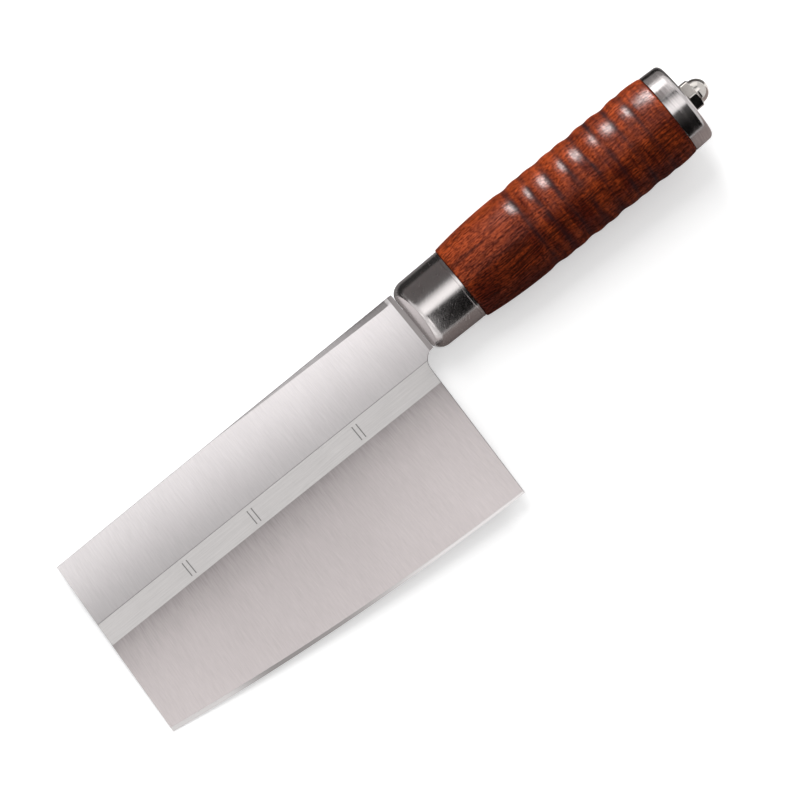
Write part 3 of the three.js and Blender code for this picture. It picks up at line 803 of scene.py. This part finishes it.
def add_washer(finish):
    hole = THREAD_RADIUS + FIT
    low = CAP_END - WASHER_THICK
    outline = [(low, hole, 0.1), (low, WASHER_RADIUS, 0.12)]
    outline += [(CAP_END, WASHER_RADIUS, 0.25), (CAP_END, hole, 0.1)]
    return add_turned(
        "seat_washer", eased(outline), 128,
        node="nut_washer", body="washer", slot="washer_steel", finish=finish,
    )


def add_nut(finish):
    """Six flats with turned bevels, a collar, a dome and a threaded bore."""
    flats = NUT_ACROSS / 2
    round_radius = NUT_ACROSS / math.sqrt(3)
    hex_end = NUT_X + HEX_LONG
    dome_x = hex_end + COLLAR_LONG
    bore_end = NUT_X + BORE_REACH
    outline = [(NUT_X, THREAD_RADIUS + 2 * THREAD_PLAY), (NUT_X, flats - NUT_FACE)]
    first = len(outline)
    sides = np.concatenate([[0.02, 0.1, 0.2, 0.3, 0.4, 0.5], np.linspace(0.7, HEX_LONG - 0.7, 7)])
    sides = np.concatenate([sides, HEX_LONG - np.array([0.5, 0.4, 0.3, 0.2, 0.1, 0.02])])
    outline += [(NUT_X + side, round_radius) for side in sides]
    last = len(outline)
    outline += [(hex_end, flats - NUT_FACE), (hex_end, COLLAR_RADIUS + 0.08), (hex_end + 0.08, COLLAR_RADIUS)]
    outline += [(dome_x - 0.12, COLLAR_RADIUS), (dome_x, COLLAR_RADIUS - 0.12), (dome_x, DOME_RADIUS)]
    for angle in np.linspace(0, math.pi / 2, 21)[1:]:
        outline.append((dome_x + DOME_RADIUS * math.sin(angle), DOME_RADIUS * math.cos(angle)))
    outline.append((bore_end, 0))
    bore = len(outline)
    outline += [(x, THREAD_RADIUS) for x in np.arange(bore_end, NUT_X + 0.1, -THREAD_STEP)]
    outline = np.array(outline)

    def cut(along, radius, turn):
        sixth = math.pi / 3
        off = (turn - HEX_TURN + sixth / 2) % sixth - sixth / 2
        hexagon = np.minimum(flats / np.cos(off), round_radius - NUT_CORNER)
        for i in range(first, last):
            gap = min(along[i, 0] - NUT_X, hex_end - along[i, 0])
            radius[i] = np.minimum(hexagon[0], round_radius - 2 * NUT_BEVEL + 2 * gap)
        radius[bore:] = thread_radius(along[bore:], turn, THREAD_PLAY)
        return radius

    return add_turned(
        "domed_nut", outline, 180, cut,
        node="dome_nut", body="nut", slot="nut_plate", finish=finish,
    )


def add_tang(finish):
    """A round rod with a right-hand thread on its tail and a fork over the flat tang at its front."""
    front, floor = TANG_REACH - FORK_REACH, TANG_REACH + FIT
    gap = STOCK / 2 + FIT
    lip = math.asin(gap / ROD_RADIUS)
    prong, cheek = 20, 6
    turn = np.concatenate([
        np.linspace(lip, math.pi - lip, prong + 1)[:-1],
        np.linspace(math.pi - lip, math.pi + lip, cheek + 1)[:-1],
        np.linspace(math.pi + lip, 2 * math.pi - lip, prong + 1)[:-1],
        np.linspace(2 * math.pi - lip, 2 * math.pi + lip, cheek + 1)[:-1],
    ])
    around = len(turn)
    outline = [(floor, ROD_RADIUS), (SHOULDER_X - ROD_BEVEL, ROD_RADIUS)]
    outline.append((SHOULDER_X, ROD_RADIUS - ROD_BEVEL))
    first = len(outline)
    outline += [(x, THREAD_RADIUS) for x in np.arange(SHOULDER_X + 0.05, ROD_END - 0.01, THREAD_STEP)]
    last = len(outline)
    outline += [(ROD_END, THREAD_RADIUS - ROD_BEVEL), (ROD_END, 0)]
    outline = np.array(outline)

    def threaded(along, radius, turn):
        end = THREAD_RADIUS - ROD_BEVEL + ROD_END - along[first:last]
        radius[first:last] = np.minimum(thread_radius(along[first:last], turn), end)
        return radius

    points = list(spun(outline, turn, threaded))
    faces = ring_faces(len(outline), around, closed=False)
    half = prong + cheek
    for begin in (0, half):
        rim = [(begin + k) % around for k in range(prong + 1)]
        ahead = range(len(points), len(points) + prong + 1)
        points += [(front, ROD_RADIUS * math.cos(turn[k]), ROD_RADIUS * math.sin(turn[k])) for k in rim]
        faces += [(rim[k], rim[k + 1], ahead[k + 1], ahead[k]) for k in range(prong)]
        faces += [(rim[-1], rim[0], ahead[0], ahead[-1]), tuple(ahead)]
    cheeks = [k % around for k in range(prong, half + 1)]
    cheeks += [k % around for k in range(half + prong, around + 1)]
    faces.append(tuple(cheeks))
    return add_piece(
        "threaded_tang", points, faces,
        node="tang_rod", body="knife", slot="rod_steel", finish=finish,
    )


# Camera: what it aims at, its height over the flank, its lens and the slope of the handle in the picture
CAMERA_AIM, CAMERA_HIGH, CAMERA_LENS, HANDLE_RISE = (-19.8, -17.3, 0), 2000, 270, math.radians(39.2)


def add_camera():
    """Straight above the flank, with the handle rising to the right by the same slope as in the picture."""
    aim = KNIFE @ (Vector(CAMERA_AIM) * MM)
    right = handle_axis * math.cos(HANDLE_RISE) - spine_axis * math.sin(HANDLE_RISE)
    up = handle_axis * math.sin(HANDLE_RISE) + spine_axis * math.cos(HANDLE_RISE)
    camera = bpy.data.cameras.new("camera")
    camera.sensor_width, camera.lens = 36, CAMERA_LENS
    camera.clip_start, camera.clip_end = 0.01, 50
    view = bpy.data.objects.new("camera", camera)
    bpy.context.scene.collection.objects.link(view)
    place = Matrix((right, up, flank_axis)).transposed().to_4x4()
    place.translation = aim + flank_axis * (CAMERA_HIGH * MM)
    view.matrix_world = place
    bpy.context.scene.camera = view


# Light: how bright the world and the floor are by themselves, to the eye and in the steel
WORLD_LEVEL, WORLD_TO_EYE, WORLD_IN_STEEL = 0.35, 0.65, 0.5
FLOOR_TONE, FLOOR_TO_EYE, FLOOR_IN_STEEL, FLOOR_REACH = 0.86, 0.4, 0.2, 12
OVERHEAD_ALONG, OVERHEAD_ACROSS, OVERHEAD_HIGH, OVERHEAD_LEVEL = (-0.32, 1.2), (-0.28, 1.0), 1.3, 1.46

# Cards that are seen in the steel alone, in metres in the knife's axes: the reach along the handle, the
# (across, high) of both long edges, and how bright a glow is or how grey a flag is at its foot and its top
GLOWS = (
    ("dome_glow", (0.185, 0.8), (0.56, 0.5), (0.66, 0), 1.3),
    ("cap_glow", (0.11, 0.19), (0.5, 0.3), (0.5, 0.03), 2.6),
    ("nut_glow", (0.1535, 0.185), (0.3, 0.4), (0.4, 0.25), 0.62),
    ("heel_edge_glow", (-0.1, 0.05), (-0.16, 0.43), (-0.4, 0.33), 1.55),
    ("nose_glow", (-0.6, -0.16), (-0.24, 0.38), (-0.45, 0.04), 1.2),
    ("facet_glow", (-0.5, -0.27), (-0.1, 0.6), (0.12, 0.6), 1.9),
)
FLAGS = (
    ("handle_edge_flag", (0.045, 0.14), (-0.0098, 0.055), (-0.075, 0.0155), 0.007, 0.08),
    ("grip_flag", (0.05, 0.105), (0.043, 0.064), (0.06, -0.003), 0.08, None),
    ("tail_flag", (0.09, 0.1535), (0.3, 0.4), (0.4, 0.25), 0.78, None),
    ("ferrule_flag", (-0.02, 0.05), (0.043, 0.064), (0.06, -0.003), 0.26, None),
    ("corner_flag", (-0.08, -0.02), (0.05, 0.03), (0.056, -0.008), 0.25, None),
    ("ferrule_edge_flag", (0.003, 0.045), (-0.0088, 0.045), (-0.07, 0.0135), 0.012, None),
    ("cap_flag", (0.105, 0.1228), (0.045, 0.062), (0.055, 0.034), 0.56, None),
)
FLAG_WARMTH = 0.03

# Such cards on the floor, in metres in the frame's axes: the reach along and across, the grey and the warmth
MATS = (
    ("spine_rim_card", (-0.12, 0.09), (0.035, 0.056), 0.22, 0.03),
    ("spine_table_flag", (-0.12, 0.09), (0.056, 0.7), 0.03, 0.03),
    ("tail_rim_card", (0.09, 0.3), (0.03, 0.056), 0.2, 0.03),
    ("tail_table_flag", (0.09, 0.3), (0.056, 0.079), 0.015, 0.03),
    ("tail_table_card", (0.09, 0.3), (0.079, 0.6), 0.24, 0.03),
    ("edge_table_flag", (0, 0.09), (-0.7, 0.01), 0.26, 0.13),
    ("tail_edge_table_flag", (0.09, 0.3), (-0.7, 0.01), 0.36, 0.13),
)
MAT_HIGH = 0.0005


def strip(along, top, foot):
    """Corners of a long card from its reach along the handle and the (across, high) of its long edges."""
    return [(along[i], *edge) for i, edge in ((0, top), (1, top), (1, foot), (0, foot))]


def mat(along, across):
    """Corners of a card that lies on the floor, in the frame's axes."""
    return [(along[i], across[j], MAT_HIGH) for i, j in ((0, 0), (1, 0), (1, 1), (0, 1))]


def panel(name, corners, axes):
    """A flat four-cornered card, its corners in metres in these axes."""
    mesh = bpy.data.meshes.new(name)
    mesh.from_pydata([axes @ Vector(c) for c in corners], [], [(0, 1, 2, 3)])
    card = bpy.data.objects.new(name, mesh)
    bpy.context.scene.collection.objects.link(card)
    return card


def add_softbox(name, middle, look_at, size, radiance):
    """A lamp of this brightness that faces a point, both in metres in the knife's axes."""
    lamp = bpy.data.lights.new(name, "AREA")
    wide, high = size
    lamp.shape, lamp.size, lamp.size_y = "RECTANGLE", wide, high
    lamp.energy = radiance * math.pi * wide * high
    box = bpy.data.objects.new(name, lamp)
    bpy.context.scene.collection.objects.link(box)
    here, there = KNIFE @ Vector(middle), KNIFE @ Vector(look_at)
    back = (here - there).normalized()
    side = (handle_axis - back * handle_axis.dot(back)).normalized()
    place = Matrix((side, back.cross(side), back)).transposed().to_4x4()
    place.translation = here
    box.matrix_world = place
    box.visible_camera = False
    return box


def light_only(lamp, piece):
    """Keeps a lamp's light to one piece."""
    lit = bpy.data.collections.new(lamp.name + "_lit")
    lit.objects.link(piece)
    lamp.light_linking.receiver_collection = lit


def steel_only(card, finish):
    """Leaves a card to be seen in the steel alone."""
    card.data.materials.append(finish)
    for ray in ("camera", "diffuse", "shadow", "transmission", "volume_scatter"):
        setattr(card, "visible_" + ray, False)


def add_flag(name, corners, axes, grey, warmth, pale=None):
    """A dark card that gives the steel's reflections an edge, or a soft one if it gets paler to its top."""
    tint = Vector((1, 1 - warmth, 1 - warmth * 1.3))
    cloth = Finish(name + "_cloth", Roughness=1.0, Specular_IOR_Level=0.0, Base_Color=(*tint * grey, 1))
    if pale:
        top, foot = (corners[i][2] / MM for i in (0, 2))
        share = cloth.between(cloth.z, lerp(top, foot, 0.5), top)
        cloth.set("Base Color", cloth.mixed(share, tint * grey, tint * pale))
    steel_only(panel(name, corners, axes), cloth.material)


def shining(name, radiance):
    """A finish that gives light and reflects none."""
    silk = Finish(name, Base_Color=(*BLACK, 1), Specular_IOR_Level=0.0)
    silk.shader.inputs["Emission Color"].default_value = (*WHITE, 1)
    silk.shader.inputs["Emission Strength"].default_value = radiance
    return silk


def add_glow(name, corners, radiance):
    """A bright card that lights up in the steel."""
    silk = shining(name + "_silk", radiance)
    silk.material.cycles.emission_sampling = "NONE"
    steel_only(panel(name, corners, KNIFE), silk.material)


def add_overhead():
    """The large panel above the knife, brightest just behind its front edge."""
    silk = shining("overhead_silk", OVERHEAD_LEVEL)
    glow = silk.between(silk.y, -270, -80) * silk.between(silk.y, 130, 1080, 1, 0)
    silk.set("Emission Color", silk.mixed(glow, BLACK, WHITE))
    (left, right), (front, back) = OVERHEAD_ALONG, OVERHEAD_ACROSS
    places = ((left, front), (left, back), (right, back), (right, front))
    card = panel("overhead_panel", [(x, y, OVERHEAD_HIGH) for x, y in places], KNIFE)
    card.data.materials.append(silk.material)
    card.visible_camera = False
    card.visible_shadow = False


def add_floor():
    """A pale table that shows white to the eye and in the steel, and keeps the knife's shadow."""
    places = ((-1, -1), (1, -1), (1, 1), (-1, 1))
    floor = panel("floor", [(x * FLOOR_REACH, y * FLOOR_REACH, 0) for x, y in places], Matrix())
    paper = Finish("pale_floor", Roughness=0.9, Specular_IOR_Level=0.0, Emission_Strength=1.0)
    paper.shader.inputs["Base Color"].default_value = (FLOOR_TONE, FLOOR_TONE, FLOOR_TONE, 1)
    eye, metal, glass = paper.rays()
    shine = eye * FLOOR_TO_EYE + (metal + glass) * FLOOR_IN_STEEL
    paper.set("Emission Color", paper.mixed(shine, BLACK, WHITE))
    floor.data.materials.append(paper.material)


def add_world():
    """Plain white light from all round, brighter to the eye and in the steel than on the wood."""
    world = bpy.data.worlds.new("studio")
    bpy.context.scene.world = world
    world.use_nodes = True
    sky = world.node_tree.nodes["Background"]
    sky.inputs["Color"].default_value = (*WHITE, 1)
    eye, metal, glass = Nodes(world.node_tree).rays()
    strength = WORLD_LEVEL + eye * WORLD_TO_EYE + (metal + glass) * WORLD_IN_STEEL
    world.node_tree.links.new(strength.socket, sky.inputs["Strength"])


def add_lamps(grip):
    """The overhead panel, two lamps that no reflection shows and one for the sheen along the grip alone."""
    add_overhead()
    key = add_softbox(
        "key_softbox", middle=(0.1, 0.75, 1.1), look_at=(0.03, 0, 0),
        size=(0.6, 0.6), radiance=6.5,
    )
    side = add_softbox(
        "side_softbox", middle=(0.25, 0.58, 0.18), look_at=(0.08, 0, 0),
        size=(0.18, 0.24), radiance=22,
    )
    sheen = add_softbox(
        "grip_softbox", middle=(0.2825, 0.565, 0.18), look_at=(0.08, 0, 0.012),
        size=(0.175, 0.262), radiance=76,
    )
    key.visible_glossy = side.visible_glossy = sheen.visible_diffuse = False
    light_only(sheen, grip)


def add_cards():
    for name, along, top, foot, radiance in GLOWS:
        add_glow(name, strip(along, top, foot), radiance)
    for name, along, top, foot, grey, pale in FLAGS:
        add_flag(name, strip(along, top, foot), KNIFE, grey, FLAG_WARMTH, pale)
    for name, along, across, grey, warmth in MATS:
        add_flag(name, mat(along, across), Matrix(), grey, warmth)


add_blade(blade_finish())
add_ferrule(ferrule_finish())
grip = add_grip(wood_finish())
add_cap(cap_finish())
add_washer(washer_finish())
add_nut(nut_finish())
add_tang(tang_finish())
frame["nodes"]["resin_fill"].data.materials.clear()
frame["nodes"]["resin_fill"].data.materials.append(resin_finish())
add_floor()
add_world()
add_lamps(grip)
add_cards()
add_camera()
bpy.context.scene.view_settings.view_transform = "Standard"
